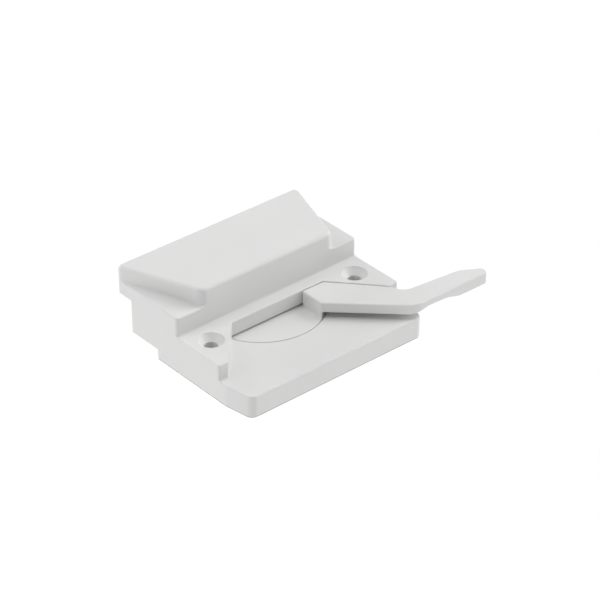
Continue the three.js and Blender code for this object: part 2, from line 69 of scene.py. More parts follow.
HALF_WIDTH = housing_high.x
FRONT_Y = housing_low.y
OVERHANG_Y = housing_high.y
REAR_Y = OVERHANG_Y - 8.2
WING_FRONT_Y = -27.4
RECESS_WALL_Y = -9.1
SHOULDER_Y = -4.2
STEP_Y = REAR_Y - 14.8
BASE_HEIGHT = 8.6
DECK_HEIGHT = lever_high.z
SHOULDER_HEIGHT = 22.8
PAD_HEIGHT_FRONT = 30.1
PAD_HEIGHT_REAR = 28.9
OVERHANG_UNDERSIDE = 17.2
STEP_HEIGHT = 3.85
TAPER_LENGTH = 12.0
TAPER_INSET = 2.0
WING_LAND = 4.1
RECESS_HALF_WIDTH = 21.3
PAD_FRONT_INSET = 11.4
PAD_SIDE_STRAIGHT = 0.6

FRONT_CORNER = 3.0
WING_CORNER = 1.0
RECESS_CORNER = 1.0
SHOULDER_CORNER = 1.3
REAR_CORNER = 1.9
PAD_CORNER = 4.05
PAD_EDGE = 1.7
TOP_EDGE = 0.7
DECK_EDGE = 0.35
BOTTOM_EDGE = 0.5
FOOT_FILLET = 1.0
SHARP = 0.3

FIXING_X = HALF_WIDTH - 8.3
FIXING_Y = -12.85
FIXING_HOLE = 2.5
FIXING_HEAD = 5.0
FIXING_BOSS_WALL = 2.4
RIM_ROUND = 0.2

SPRING_THICKNESS = 0.5
SPRING_BLOCK_WIDTH = 4.8
SPRING_BLOCK_START = 7.4
BUSH_WALL = 0.7
LOWER_JOURNAL = 2.0
UPPER_JOURNAL = 1.75
UPPER_JOURNAL_LENGTH = 5.4

DISC_RADIUS = 23.55
DISC_BOTTOM = lever_low.z
DISC_TOP = BASE_HEIGHT
DECK_UNDERSIDE = DISC_TOP + 0.8
ROTOR_FLOOR = DISC_BOTTOM - GAP
DECK_CEILING = DECK_HEIGHT - ROOF
BASE_CEILING = BASE_HEIGHT - WALL
SHOULDER_CEILING = SHOULDER_HEIGHT - ROOF
DISC_KEEP_SIDE = 8.0
DISC_HUB = 11.0
DISC_EDGE = 0.28
ROOM_EDGE = 0.22

LEVER_CLEARANCE = 0.4
LEVER_EDGE = 0.6
LEVER_LOWER_EDGE = 0.1
ARM_UNDERSIDE = DECK_HEIGHT - 3.95
HEAD_INNER_FACE = 11.3
ARM_WIDTH_AT_HEAD = 14.3
ARM_WIDTH_AT_BEND = 12.3
ARM_TAPER_LENGTH = 26.0
TIP_X = HALF_WIDTH + 30.3
TIP_INNER_Y = FRONT_Y - 0.6
TIP_WIDTH_AT_BEND = 10.3
TIP_WIDTH_AT_SHOULDER = 7.7
TIP_SHOULDER = 8.1
TIP_NOSE = 2.8
TIP_SLANT = 1.2
TIP_CORNER = 1.4
WAIST_SHIFT = 2.8
RISER_FOOT = 0.6
HEAD_CORNER = 0.5
INNER_BEND = 9.0
OUTER_BEND = 5.0
WAIST_CORNER = 1.5
TIP_SHOULDER_ROUND = 6.0

SHANK_HALF = 3.0
FLANGE_RADIUS = 4.7
FLANGE_THICKNESS = 1.0

CAM_BOTTOM = cam_low.z
CAM_TOP = cam_high.z
CAM_RADIUS = cam_high.y
CAM_HUB = SHANK_HALF * math.sqrt(2) + 2.1
CAM_FLAT = CAM_HUB - 0.7
CAM_ARM = (-3.5, 6.5)
HOOK_THICKNESS = 3.2
HOOK_REACH = math.radians(24)
SLOT_MARGIN = 3.0
SLOT_HALF_WIDTH = math.sqrt(CAM_RADIUS**2 - (REAR_Y - WALL) ** 2) + SLOT_MARGIN
SLOT_CORNER = 1.0

PLATE_THICKNESS = 2.4
PLATE_SCREWS = [
    (hand * (HALF_WIDTH - inset), y)
    for hand in (-1, 1)
    for inset, y in ((13.6, FRONT_Y + 8.5), (6.7, 0.5))
]
SCREW_RADIUS = 1.2
SCREW_HEAD = 2.5
SCREW_LENGTH = 6.9
HEAD_SINK = 0.15
BOSS_RADIUS = 3.2
SCREW_RIM = 0.1
SCREW_RIM_WIDTH = 0.12
CROSS_LENGTH = 1.25  # half of the recess's length, and below half of its width
CROSS_WIDTH = 0.26
CROSS_CORNER = 0.08
CROSS_DRAFT = 0.14
CROSS_DEPTH = 1.0
CROSS_FLARE = 0.02
CROSS_POINT = 0.3
CROSS_CONE = (0.7, 0.2)
CROSS_SIDES = 32
PIN_MARK_RADIUS = 2.0
PIN_MARK_DEPTH = 0.12
PIN_MARK_X = 14.0
PIN_MARK_ROWS = (FRONT_Y + 12.0, -10.0)

ABOVE = 60.0
BELOW = 2.0

# ---------------------------------------------------------------- fineness
CORNER_STEPS = 12
EDGE_STEPS = 6
ROUND_SIDES = 96
SMALL_SIDES = 48
SCREW_SIDES = 64
DISC_SIDES = 288
ARM_SLICES = 60
LEAST_RADIUS = 0.06
CREASE = math.radians(28)
BEVEL_ANGLE = math.radians(35)
FLAT_ANGLE = math.radians(0.05)
MERGE = 0.012
SLIVER = 0.001


# ---------------------------------------------------------------- solids in mesh code
def to_object(mesh, name="solid"):
    bmesh.ops.recalc_face_normals(mesh, faces=mesh.faces)
    data = bpy.data.meshes.new(name)
    mesh.to_mesh(data)
    mesh.free()
    obj = bpy.data.objects.new(name, data)
    bpy.context.scene.collection.objects.link(obj)
    return obj


def outline_points(corners, inset):
    """Points round a plan outline of (x, y, radius) corners, anticlockwise, moved in by inset."""
    points = []
    for i, (x, y, radius) in enumerate(corners):
        corner = Vector((x, y))
        arriving = (corner - Vector(corners[i - 1][:2])).normalized()
        leaving = (Vector(corners[(i + 1) % len(corners)][:2]) - corner).normalized()
        turn = math.atan2(arriving.cross(leaving), arriving.dot(leaving))
        side = math.copysign(1, turn)
        inward = Vector((-arriving.y, arriving.x))
        inward_after = Vector((-leaving.y, leaving.x))
        corner += (inward + inward_after) * inset / (1 + inward.dot(inward_after))
        bend = max(radius - side * inset, LEAST_RADIUS)
        start = corner - arriving * bend * math.tan(abs(turn) / 2)
        centre = start + inward * side * bend
        for step in range(CORNER_STEPS + 1):
            spoke = start - centre
            spoke.rotate(Matrix.Rotation(turn * step / CORNER_STEPS, 2))
            points.append(centre + spoke)
    return points


def stacked(corners, levels, place=Matrix.Identity(4)):
    """A solid of one outline at each (height, inset) level. A height may be a function of Y."""
    mesh = bmesh.new()
    rings = []
    for height, inset in levels:
        ring = []
        for point in outline_points(corners, inset):
            z = height(point.y) if callable(height) else height
            ring.append(mesh.verts.new(place @ Vector((point.x, point.y, z))))
        rings.append(ring)
    mesh.faces.new(rings[0])
    mesh.faces.new(rings[-1])
    for lower, upper in zip(rings, rings[1:]):
        for i in range(len(lower)):
            mesh.faces.new((lower[i - 1], lower[i], upper[i], upper[i - 1]))
    return to_object(mesh)


def turned(section, x=0.0, y=0.0, sides=ROUND_SIDES):
    """A solid turned about a vertical axis. Its (radius, height) points start and end on it."""
    mesh = bmesh.new()
    rings = []
    for radius, z in section:
        if radius == 0:
            rings.append([mesh.verts.new((x, y, z))] * sides)
            continue
        ring = []
        for i in range(sides):
            angle = 2 * math.pi * i / sides
            place = (x + radius * math.cos(angle), y + radius * math.sin(angle), z)
            ring.append(mesh.verts.new(place))
        rings.append(ring)
    for lower, upper in zip(rings, rings[1:]):
        for i in range(sides):
            face = dict.fromkeys((lower[i - 1], lower[i], upper[i], upper[i - 1]))
            mesh.faces.new(tuple(face))
    return to_object(mesh)


def rod(radius, z0, z1, x=0.0, y=0.0, sides=ROUND_SIDES):
    return turned([(0, z0), (radius, z0), (radius, z1), (0, z1)], x, y, sides)


def block(x_range, y_range, z_range):
    mesh = bmesh.new()
    bmesh.ops.create_cube(mesh, size=1)
    for vert in mesh.verts:
        for axis, (low, high) in enumerate((x_range, y_range, z_range)):
            vert.co[axis] = high if vert.co[axis] > 0 else low
    return to_object(mesh)


def copied(obj):
    copy = bpy.data.objects.new(obj.name, obj.data.copy())
    bpy.context.scene.collection.objects.link(copy)
    return copy


def combine(operation, target, tools):
    """target joined with, cut by, or kept inside each tool in turn. The tools are used up."""
    for tool in tools:
        modifier = target.modifiers.new(operation, "BOOLEAN")
        modifier.operation = operation
        modifier.object = tool
        modifier.solver = "MANIFOLD"
    depsgraph = bpy.context.evaluated_depsgraph_get()
    baked = bpy.data.meshes.new_from_object(target.evaluated_get(depsgraph))
    target.modifiers.clear()
    target.data = baked
    for tool in tools:
        bpy.data.objects.remove(tool)
    return target


def join(target, *tools):
    return combine("UNION", target, tools)


def cut(target, *tools):
    return combine("DIFFERENCE", target, tools)


def keep_inside(target, *tools):
    return combine("INTERSECT", target, tools)


def arc_steps(steps=EDGE_STEPS):
    """(sine, cosine) at equal steps of a quarter turn."""
    angles = [step / steps * math.pi / 2 for step in range(steps + 1)]
    return [(math.sin(angle), math.cos(angle)) for angle in angles]


def lowered(height, drop):
    return (lambda y: height(y) - drop) if callable(height) else height - drop


def top_edge(height, radius):
    """Levels of a quarter-round edge that ends at the height."""
    return [(lowered(height, radius * (1 - s)), radius * (1 - c)) for s, c in arc_steps()]


def bottom_edge(height, radius):
    """Levels of a quarter-round edge that starts at the height."""
    return [(height + radius * (1 - c), radius * (1 - s)) for s, c in arc_steps()]


def foot_edge(height, radius):
    """Levels of a quarter-round foot that spreads onto the face at the height."""
    return [(height + radius * (1 - c), -radius * (1 - s)) for s, c in arc_steps()]


def mirrored(half):
    return half + [(-x, y, radius) for x, y, radius in reversed(half)]


# ---------------------------------------------------------------- finishing a piece
def tidy(obj):
    """Joins what a cut left double or in slivers, and flat faces that it split."""
    mesh = bmesh.new()
    mesh.from_mesh(obj.data)
    bmesh.ops.remove_doubles(mesh, verts=mesh.verts, dist=MERGE)
    bmesh.ops.dissolve_degenerate(mesh, edges=mesh.edges, dist=SLIVER)
    bmesh.ops.dissolve_limit(mesh, angle_limit=FLAT_ANGLE, verts=mesh.verts, edges=mesh.edges)
    mesh.to_mesh(obj.data)
    mesh.free()


def soften(obj, width):
    """A small round on every edge that turns by more than the bevel angle."""
    bevel = obj.modifiers.new("edge", "BEVEL")
    bevel.width = width * MM
    bevel.segments = 2
    bevel.limit_method = "ANGLE"
    bevel.angle_limit = BEVEL_ANGLE
    bevel.use_clamp_overlap = True
    bevel.harden_normals = False


def shade(obj):
    obj.data.polygons.foreach_set("use_smooth", [True] * len(obj.data.polygons))
    obj.data.set_sharp_from_angle(angle=CREASE)
    weighted = obj.modifiers.new("normals", "WEIGHTED_NORMAL")
    weighted.keep_sharp = True
    weighted.weight = 50


def finish_piece(obj, name, material, body, nodes, edge=0.0):
    tidy(obj)
    obj.data.transform(Matrix.Scale(MM, 4))
    obj.name = name
    obj.data.name = name
    obj.data.materials.clear()
    obj.data.materials.append(material)
    if edge:
        soften(obj, edge)
    shade(obj)
    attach(obj, body)
    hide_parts(*nodes)
    return obj


# ---------------------------------------------------------------- materials
def new_material(name, colour, roughness, metallic=0.0):
    material = bpy.data.materials.new(name)
    material.use_nodes = True
    nodes = material.node_tree.nodes
    shader = nodes["Principled BSDF"]
    shader.inputs["Base Color"].default_value = (*colour, 1)
    shader.inputs["Roughness"].default_value = roughness
    shader.inputs["Metallic"].default_value = metallic
    return material, material.node_tree, shader


def place_node(tree, stretch=(1, 1, 1)):
    """The piece's own coordinates, in millimetres, stretched along its axes."""
    coordinates = tree.nodes.new("ShaderNodeTexCoord")
    mapping = tree.nodes.new("ShaderNodeMapping")
    mapping.inputs["Scale"].default_value = [s / MM for s in stretch]
    tree.links.new(coordinates.outputs["Object"], mapping.inputs["Vector"])
    return mapping.outputs["Vector"]


def noise(tree, vector, size, detail=2.0, roughness=0.5):
    """Noise whose features are about size millimetres across."""
    node = tree.nodes.new("ShaderNodeTexNoise")
    node.inputs["Scale"].default_value = 1 / size
    node.inputs["Detail"].default_value = detail
    node.inputs["Roughness"].default_value = roughness
    tree.links.new(vector, node.inputs["Vector"])
    return node.outputs["Fac"]


def spread(tree, value, low, high):
    node = tree.nodes.new("ShaderNodeMapRange")
    node.inputs["From Min"].default_value = 0.3
    node.inputs["From Max"].default_value = 0.7
    node.inputs["To Min"].default_value = low
    node.inputs["To Max"].default_value = high
    tree.links.new(value, node.inputs["Value"])
    return node.outputs["Result"]


def tint(tree, value, dark, light):
    node = tree.nodes.new("ShaderNodeMix")
    node.data_type = "RGBA"
    node.inputs["A"].default_value = (*dark, 1)
    node.inputs["B"].default_value = (*light, 1)
    tree.links.new(value, node.inputs["Factor"])
    return node.outputs["Result"]


def bump(tree, height, strength, depth, below=None):
    """A bump whose full height is depth millimetres, on top of another bump."""
    node = tree.nodes.new("ShaderNodeBump")
    node.inputs["Strength"].default_value = strength
    node.inputs["Distance"].default_value = depth * MM
    tree.links.new(height, node.inputs["Height"])
    if below is not None:
        tree.links.new(below, node.inputs["Normal"])
    return node.outputs["Normal"]


def moulded_plastic(name, colour, roughness, grain=0.35, grain_depth=0.012):
    """Injection-moulded plastic: spark-eroded grain, faint flow and sink marks, uneven gloss."""
    material, tree, shader = new_material(name, colour, roughness)
    place = place_node(tree)
    flow = noise(tree, place, 22.0, 3.0)
    shadow = tuple(channel * 0.985 for channel in colour)
    mottle = tint(tree, spread(tree, flow, 0, 1), shadow, colour)
    tree.links.new(mottle, shader.inputs["Base Color"])
    gloss = noise(tree, place, 3.0, 4.0, 0.6)
    tree.links.new(
        spread(tree, gloss, roughness - 0.04, roughness + 0.05), shader.inputs["Roughness"]
    )
    sink = bump(tree, noise(tree, place, 9.0, 1.0), 0.25, 0.05)
    fine = bump(tree, noise(tree, place, grain, 2.0, 0.6), 0.5, grain_depth, sink)
    tree.links.new(fine, shader.inputs["Normal"])
    shader.inputs["IOR"].default_value = 1.5
    return material


def rolled_steel(name, colour, roughness, stretch, scratch=0.08):
    """Plated steel with the fine lines of rolling or turning along one direction."""
    material, tree, shader = new_material(name, colour, roughness, 1.0)
    lines = noise(tree, place_node(tree, stretch), 0.12, 3.0, 0.6)
    cloud = noise(tree, place_node(tree), 2.5, 3.0, 0.6)
    dark = tuple(channel * 0.82 for channel in colour)
    tree.links.new(tint(tree, spread(tree, cloud, 0, 1), dark, colour), shader.inputs["Base Color"])
    tree.links.new(
        spread(tree, cloud, roughness - scratch, roughness + scratch), shader.inputs["Roughness"]
    )
    tree.links.new(bump(tree, lines, 0.35, 0.006), shader.inputs["Normal"])
    return material


WHITE = moulded_plastic("moulded_white", (0.80, 0.80, 0.795), 0.46)
ACETAL = moulded_plastic("moulded_acetal", (0.66, 0.64, 0.57), 0.36, 0.6, 0.006)
ZINC = rolled_steel("zinc_plate", (0.60, 0.62, 0.65), 0.30, (1, 0.08, 1))
SPRING = rolled_steel("blued_spring_steel", (0.30, 0.31, 0.34), 0.28, (1, 0.05, 1))
SCREW = rolled_steel("plated_screw_steel", (0.55, 0.56, 0.58), 0.27, (1, 1, 0.1))

# ---------------------------------------------------------------- housing
DECK_OUTLINE = [
    (-HALF_WIDTH, WING_FRONT_Y, WING_CORNER),
    (-HALF_WIDTH + WING_LAND, WING_FRONT_Y, SHARP),
    (-RECESS_HALF_WIDTH, RECESS_WALL_Y, RECESS_CORNER),
    (RECESS_HALF_WIDTH, RECESS_WALL_Y, RECESS_CORNER),
    (HALF_WIDTH - WING_LAND, WING_FRONT_Y, SHARP),
    (HALF_WIDTH, WING_FRONT_Y, WING_CORNER),
    (HALF_WIDTH, REAR_Y, SHARP),
    (-HALF_WIDTH, REAR_Y, SHARP),
]


def base_outline(back_y, back_radius=SHARP):
    return mirrored(
        [
            (HALF_WIDTH - TAPER_INSET, FRONT_Y, FRONT_CORNER),
            (HALF_WIDTH, FRONT_Y + TAPER_LENGTH, TAPER_LENGTH),
            (HALF_WIDTH, back_y, back_radius),
        ]
    )


def shoulder_outline(back_y, back_radius):
    return mirrored([(HALF_WIDTH, SHOULDER_Y, SHOULDER_CORNER), (HALF_WIDTH, back_y, back_radius)])


PAD_OUTLINE = mirrored(
    [
        (HALF_WIDTH - PAD_FRONT_INSET, SHOULDER_Y, PAD_CORNER),
        (HALF_WIDTH, OVERHANG_Y - REAR_CORNER - PAD_SIDE_STRAIGHT, SHARP),
        (HALF_WIDTH, OVERHANG_Y, REAR_CORNER),
    ]
)
PAD_CORE = mirrored(
    [(HALF_WIDTH - PAD_FRONT_INSET, SHOULDER_Y, SHARP), (HALF_WIDTH, OVERHANG_Y, SHARP)]
)


def pad_top(y):
    """Height of the pad's sloping top."""
    share = (y - SHOULDER_Y) / (OVERHANG_Y - SHOULDER_Y)
    return PAD_HEIGHT_FRONT + share * (PAD_HEIGHT_REAR - PAD_HEIGHT_FRONT)


def housing_outside():
    rear_slab = mirrored([(HALF_WIDTH, STEP_Y - 3 * WALL, SHARP), (HALF_WIDTH, REAR_Y, SHARP)])
    head_outline = shoulder_outline(OVERHANG_Y, REAR_CORNER)
    shell = stacked(
        base_outline(STEP_Y), bottom_edge(0, BOTTOM_EDGE) + top_edge(BASE_HEIGHT, TOP_EDGE)
    )
    inside_base = BASE_HEIGHT - 2 * TOP_EDGE
    join(
        shell,
        stacked(rear_slab, bottom_edge(STEP_HEIGHT, BOTTOM_EDGE) + [(inside_base, 0)]),
        stacked(DECK_OUTLINE, [(STEP_HEIGHT + WALL, 0)] + top_edge(DECK_HEIGHT, DECK_EDGE)),
        stacked(
            shoulder_outline(REAR_Y, SHARP),
            [(STEP_HEIGHT + WALL, 0), (OVERHANG_UNDERSIDE + WALL, 0)],
        ),
        stacked(
            head_outline,
            bottom_edge(OVERHANG_UNDERSIDE, BOTTOM_EDGE) + top_edge(SHOULDER_HEIGHT, TOP_EDGE),
        ),
        stacked(PAD_OUTLINE, [(OVERHANG_UNDERSIDE + WALL, 0)] + top_edge(pad_top, PAD_EDGE)),
    )
    pad_foot = keep_inside(
        stacked(
            PAD_OUTLINE,
            [(OVERHANG_UNDERSIDE + WALL, -FOOT_FILLET)] + foot_edge(SHOULDER_HEIGHT, FOOT_FILLET),
        ),
        stacked(head_outline, [(OVERHANG_UNDERSIDE + WALL - GAP, 0), (ABOVE, 0)]),
    )
    shoulder_foot = keep_inside(
        stacked(
            shoulder_outline(REAR_Y, SHARP),
            [(STEP_HEIGHT + WALL, -FOOT_FILLET)] + foot_edge(DECK_HEIGHT, FOOT_FILLET),
        ),
        stacked(DECK_OUTLINE, [(DECK_HEIGHT / 2, 0), (ABOVE, 0)]),
    )
    deck_foot = keep_inside(
        stacked(
            DECK_OUTLINE,
            [(STEP_HEIGHT + WALL, -FOOT_FILLET)] + foot_edge(BASE_HEIGHT, FOOT_FILLET),
        ),
        stacked(base_outline(REAR_Y), [(STEP_HEIGHT + 2 * WALL / 3, 0), (ABOVE, 0)]),
    )
    return join(shell, pad_foot, shoulder_foot, deck_foot)


def housing_inside():
    everywhere = (-ABOVE, ABOVE)
    core = keep_inside(
        stacked(base_outline(REAR_Y), [(-BELOW, WALL), (BASE_CEILING, WALL)]),
        block(everywhere, (-ABOVE, STEP_Y - WALL), (-BELOW, ABOVE)),
    )
    room = DISC_RADIUS + GAP
    rotor_room = keep_inside(
        turned(
            [(0, ROTOR_FLOOR), (room, ROTOR_FLOOR)]
            + [
                (room + ROOM_EDGE * (1 - c), BASE_HEIGHT - ROOM_EDGE * (1 - s))
                for s, c in arc_steps(4)
            ]
            + [(room + ROOM_EDGE, DECK_UNDERSIDE), (0, DECK_UNDERSIDE)],
            sides=DISC_SIDES,
        ),
        block(everywhere, (-ABOVE, REAR_Y - WALL), (0, ABOVE)),
    )
    return join(
        core,
        stacked(DECK_OUTLINE, [(ROTOR_FLOOR, WALL), (DECK_CEILING, WALL)]),
        stacked(
            shoulder_outline(REAR_Y, SHARP), [(DECK_CEILING - GAP, WALL), (SHOULDER_CEILING, WALL)]
        ),
        stacked(
            shoulder_outline(OVERHANG_Y, REAR_CORNER),
            [(OVERHANG_UNDERSIDE + ROOF, WALL), (SHOULDER_CEILING, WALL)],
        ),
        stacked(
            PAD_CORE, [(OVERHANG_UNDERSIDE + ROOF, WALL), (lambda y: pad_top(y) - ROOF, WALL)]
        ),
        rotor_room,
    )


def bore_section(hole, head, top, start):
    """A hole with a 90 degree countersink that ends at the top, and a rounded rim."""
    rim = [(head + RIM_ROUND * (1 - c), top - RIM_ROUND * (1 - s)) for s, c in arc_steps()]
    cone_top = top - RIM_ROUND
    return (
        [(0, start), (hole, start), (hole, cone_top - (head - hole))]
        + rim
        + [(head + RIM_ROUND, top + BELOW), (0, top + BELOW)]
    )


def build_housing():
    block_x = -(CAM_HUB + GAP) - SPRING_THICKNESS - GAP
    bosses = [
        rod(FIXING_HOLE + FIXING_BOSS_WALL, 0, DECK_HEIGHT - ROOF / 2, hand * FIXING_X, FIXING_Y)
        for hand in (-1, 1)
    ]
    bosses += [
        rod(BOSS_RADIUS, PLATE_THICKNESS + GAP, DECK_HEIGHT - ROOF / 2, x, y, SMALL_SIDES)
        for x, y in PLATE_SCREWS
    ]
    bosses.append(rod(FLANGE_RADIUS + GAP, DECK_CEILING, SHOULDER_HEIGHT - ROOF / 2))
    spring_block = block(
        (block_x - SPRING_BLOCK_WIDTH, block_x),
        (SPRING_BLOCK_START, REAR_Y - WALL / 2),
        (CAM_BOTTOM, DECK_CEILING + GAP),
    )
    bosses.append(spring_block)
    outside = housing_outside()
    shell = cut(copied(outside), housing_inside())
    join(shell, keep_inside(join(*bosses), outside))

    upright = Matrix(((1, 0, 0, 0), (0, 0, 1, 0), (0, 1, 0, 0), (0, 0, 0, 1)))
    slot_corners = mirrored(
        [
            (SLOT_HALF_WIDTH, ROTOR_FLOOR, SLOT_CORNER),
            (SLOT_HALF_WIDTH, CAM_TOP + 3 * GAP, SLOT_CORNER),
        ]
    )
    flare = [(REAR_Y - RIM_ROUND * c, -RIM_ROUND * (1 - s)) for c, s in arc_steps()]
    slot = stacked(
        slot_corners,
        [(REAR_Y - 2 * WALL, 0)] + sorted(flare) + [(REAR_Y + BELOW, -RIM_ROUND)],
        upright,
    )
    holes = [
        turned(
            bore_section(FIXING_HOLE, FIXING_HEAD - RIM_ROUND, DECK_HEIGHT, -BELOW),
            hand * FIXING_X,
            FIXING_Y,
        )
        for hand in (-1, 1)
    ]
    holes += [
        rod(
            SCREW_RADIUS + GAP,
            PLATE_THICKNESS,
            HEAD_SINK + SCREW_LENGTH + GAP,
            x,
            y,
            SMALL_SIDES,
        )
        for x, y in PLATE_SCREWS
    ]
    pivot_top = CAM_TOP + UPPER_JOURNAL_LENGTH + 2 * GAP
    pivot = rod(UPPER_JOURNAL + BUSH_WALL + 2 * GAP, CAM_TOP, pivot_top)
    hub_room = rod(CAM_HUB + GAP, ROTOR_FLOOR, DECK_CEILING)
    return cut(shell, hub_room, slot, pivot, *holes)


# ---------------------------------------------------------------- lever
def at_y(start, direction, y):
    return start + direction * (y - start.y) / direction.y


def at_x(start, direction, x):
    return start + direction * (x - start.x) / direction.x


def lever_outline():
    """The arm's outer edge follows the recess's right wall, and the tip runs along X."""
    recess_corner = Vector((RECESS_HALF_WIDTH, RECESS_WALL_Y))
    wing_corner = Vector((HALF_WIDTH - WING_LAND, WING_FRONT_Y))
    along = (wing_corner - recess_corner).normalized()
    away = Vector((along.y, -along.x))
    outer = recess_corner + away * LEVER_CLEARANCE
    head_back_y = RECESS_WALL_Y - LEVER_CLEARANCE
    head = at_y(outer, along, head_back_y)
    waist = at_y(outer, along, WING_FRONT_Y)
    inner_head = head + away * ARM_WIDTH_AT_HEAD
    inner_bend = head + along * ARM_TAPER_LENGTH + away * ARM_WIDTH_AT_BEND
    inner = (inner_bend - inner_head).normalized()
    head_inner = at_x(inner_head, inner, HEAD_INNER_FACE)
    bend = at_y(inner_head, inner, TIP_INNER_Y)
    return [
        (head_inner.x, head_inner.y, HEAD_CORNER),
        (bend.x, bend.y, INNER_BEND),
        (TIP_X - TIP_SLANT, TIP_INNER_Y - LEVER_CLEARANCE, TIP_CORNER),
        (TIP_X, TIP_INNER_Y + TIP_NOSE, TIP_CORNER),
        (TIP_X - TIP_SHOULDER, TIP_INNER_Y + TIP_WIDTH_AT_SHOULDER, TIP_SHOULDER_ROUND),
        (waist.x + WAIST_SHIFT, TIP_INNER_Y + TIP_WIDTH_AT_BEND, OUTER_BEND),
        (waist.x, waist.y, WAIST_CORNER),
        (head.x, head.y, HEAD_CORNER),
        (HEAD_INNER_FACE, head_back_y, HEAD_CORNER),
    ]


# The arm's underside along X, from the body's side: flat, an arch over the body's edge, and a
# ramp down to the thicker tip.
UNDERSIDE = [
    (-ABOVE, ARM_UNDERSIDE),
    (-6.3, ARM_UNDERSIDE),
    (0.6, ARM_UNDERSIDE + 1.4),
    (9.5, ARM_UNDERSIDE + 1.05),
    (15.6, DECK_HEIGHT - 4.6),
    (ABOVE, DECK_HEIGHT - 4.6),
]
UNDERSIDE_BLEND = 1.2  # half the length over which one slope turns into the next


def underside_line(past_side):
    for (x0, z0), (x1, z1) in zip(UNDERSIDE, UNDERSIDE[1:]):
        if past_side <= x1:
            return z0 + (z1 - z0) * (past_side - x0) / (x1 - x0)
    return UNDERSIDE[-1][1]


def underside(x):
    """Height of the arm's underside: the line above, averaged over a short length."""
    samples = 9
    offsets = [UNDERSIDE_BLEND * (2 * i / (samples - 1) - 1) for i in range(samples)]
    return sum(underside_line(x - HALF_WIDTH + offset) for offset in offsets) / samples


def build_arm(outline):
    """The arm, stacked with a flat underside at zero, sliced along X and lifted below."""
    arm = stacked(outline, bottom_edge(0, LEVER_LOWER_EDGE) + top_edge(DECK_HEIGHT, LEVER_EDGE))
    mesh = bmesh.new()
    mesh.from_mesh(arm.data)
    first = HALF_WIDTH + UNDERSIDE[1][0] - UNDERSIDE_BLEND
    last = HALF_WIDTH + UNDERSIDE[-2][0] + UNDERSIDE_BLEND
    for i in range(ARM_SLICES + 1):
        x = first + (last - first) * i / ARM_SLICES
        everything = mesh.verts[:] + mesh.edges[:] + mesh.faces[:]
        bmesh.ops.bisect_plane(mesh, geom=everything, plane_co=(x, 0, 0), plane_no=(1, 0, 0))
    for vert in mesh.verts:
        if vert.co.z < DECK_HEIGHT / 4:
            vert.co.z += underside(vert.co.x)
    mesh.to_mesh(arm.data)
    mesh.free()
    return arm


def build_lever():
    outline = lever_outline()
    disc = turned(
        [(0, DISC_BOTTOM)]
        + [
            (DISC_RADIUS - DISC_EDGE * (1 - s), DISC_BOTTOM + DISC_EDGE * (1 - c))
            for s, c in arc_steps(3)
        ]
        + [
            (DISC_RADIUS - DISC_EDGE * (1 - c), DISC_TOP - DISC_EDGE * (1 - s))
            for s, c in arc_steps(3)
        ]
        + [(0, DISC_TOP)],
        sides=DISC_SIDES,
    )
    cut_back = cut(
        block((-ABOVE, DISC_KEEP_SIDE), (-DISC_KEEP_SIDE, ABOVE), (0, ABOVE)),
        rod(DISC_HUB, -BELOW, ABOVE + BELOW),
    )
    cut(disc, cut_back)
    riser = keep_inside(
        stacked(
            outline,
            [(DISC_BOTTOM + GAP, -RISER_FOOT)]
            + foot_edge(DISC_TOP, RISER_FOOT)
            + [(ARM_UNDERSIDE + 2 * GAP, 0)],
        ),
        rod(DISC_RADIUS - DISC_EDGE, DISC_BOTTOM, DECK_HEIGHT, sides=DISC_SIDES),
    )
    # the riser's foot stays clear of the walls that the arm stops against
    keep_inside(riser, stacked(outline_with_room(outline), [(0, 0), (ABOVE, 0)]))
    join(disc, riser, build_arm(outline))
    hole = SHANK_HALF + GAP
    return cut(
        disc,
        block((-hole, hole), (-hole, hole), (0, ABOVE)),
        rod(FLANGE_RADIUS + GAP, 0, DISC_BOTTOM + FLANGE_THICKNESS),
    )


def outline_with_room(outline):
    """The lever's outline let out on its inner side only, where the riser's foot may spread."""
    let_out = RISER_FOOT
    inner = outline[0]
    back = outline[-1]
    return [
        (inner[0] - let_out, inner[1] - let_out, SHARP),
        (outline[1][0], outline[1][1] - let_out, SHARP),
        *outline[2:-1],
        (back[0] - let_out, back[1], SHARP),
    ]


# ---------------------------------------------------------------- base plate, screws and cam
def build_base_plate():
    inset = WALL + GAP
    edge = [(z, inset + extra) for z, extra in bottom_edge(0, BOTTOM_EDGE)]
    sheet = stacked(base_outline(STEP_Y), edge + [(PLATE_THICKNESS, inset)])
    join(sheet, rod(plate_high.y - RIM_ROUND, PLATE_THICKNESS / 2, plate_high.z))
    bush_low = span("lower_bush")[0]
    lands = [
        rod(FIXING_HOLE + FIXING_BOSS_WALL + GAP, -BELOW, ABOVE, hand * FIXING_X, FIXING_Y)
        for hand in (-1, 1)
    ]
    screws = [
        turned(
            [
                (0, -BELOW),
                (SCREW_HEAD + GAP, -BELOW),
                (SCREW_HEAD + GAP, HEAD_SINK),
                (SCREW_RADIUS + GAP, HEAD_SINK + SCREW_HEAD - SCREW_RADIUS),
                (SCREW_RADIUS + GAP, ABOVE),
                (0, ABOVE),
            ],
            x,
            y,
            SCREW_SIDES,
        )
        for x, y in PLATE_SCREWS
    ]
    pin_marks = [
        rod(PIN_MARK_RADIUS, -BELOW, PIN_MARK_DEPTH, x, y, SMALL_SIDES)
        for x in (-PIN_MARK_X, PIN_MARK_X)
        for y in PIN_MARK_ROWS
    ]
    bore = rod(LOWER_JOURNAL + BUSH_WALL + 2 * GAP, bush_low.z - GAP, ABOVE)
    return cut(sheet, bore, *lands, *screws, *pin_marks)


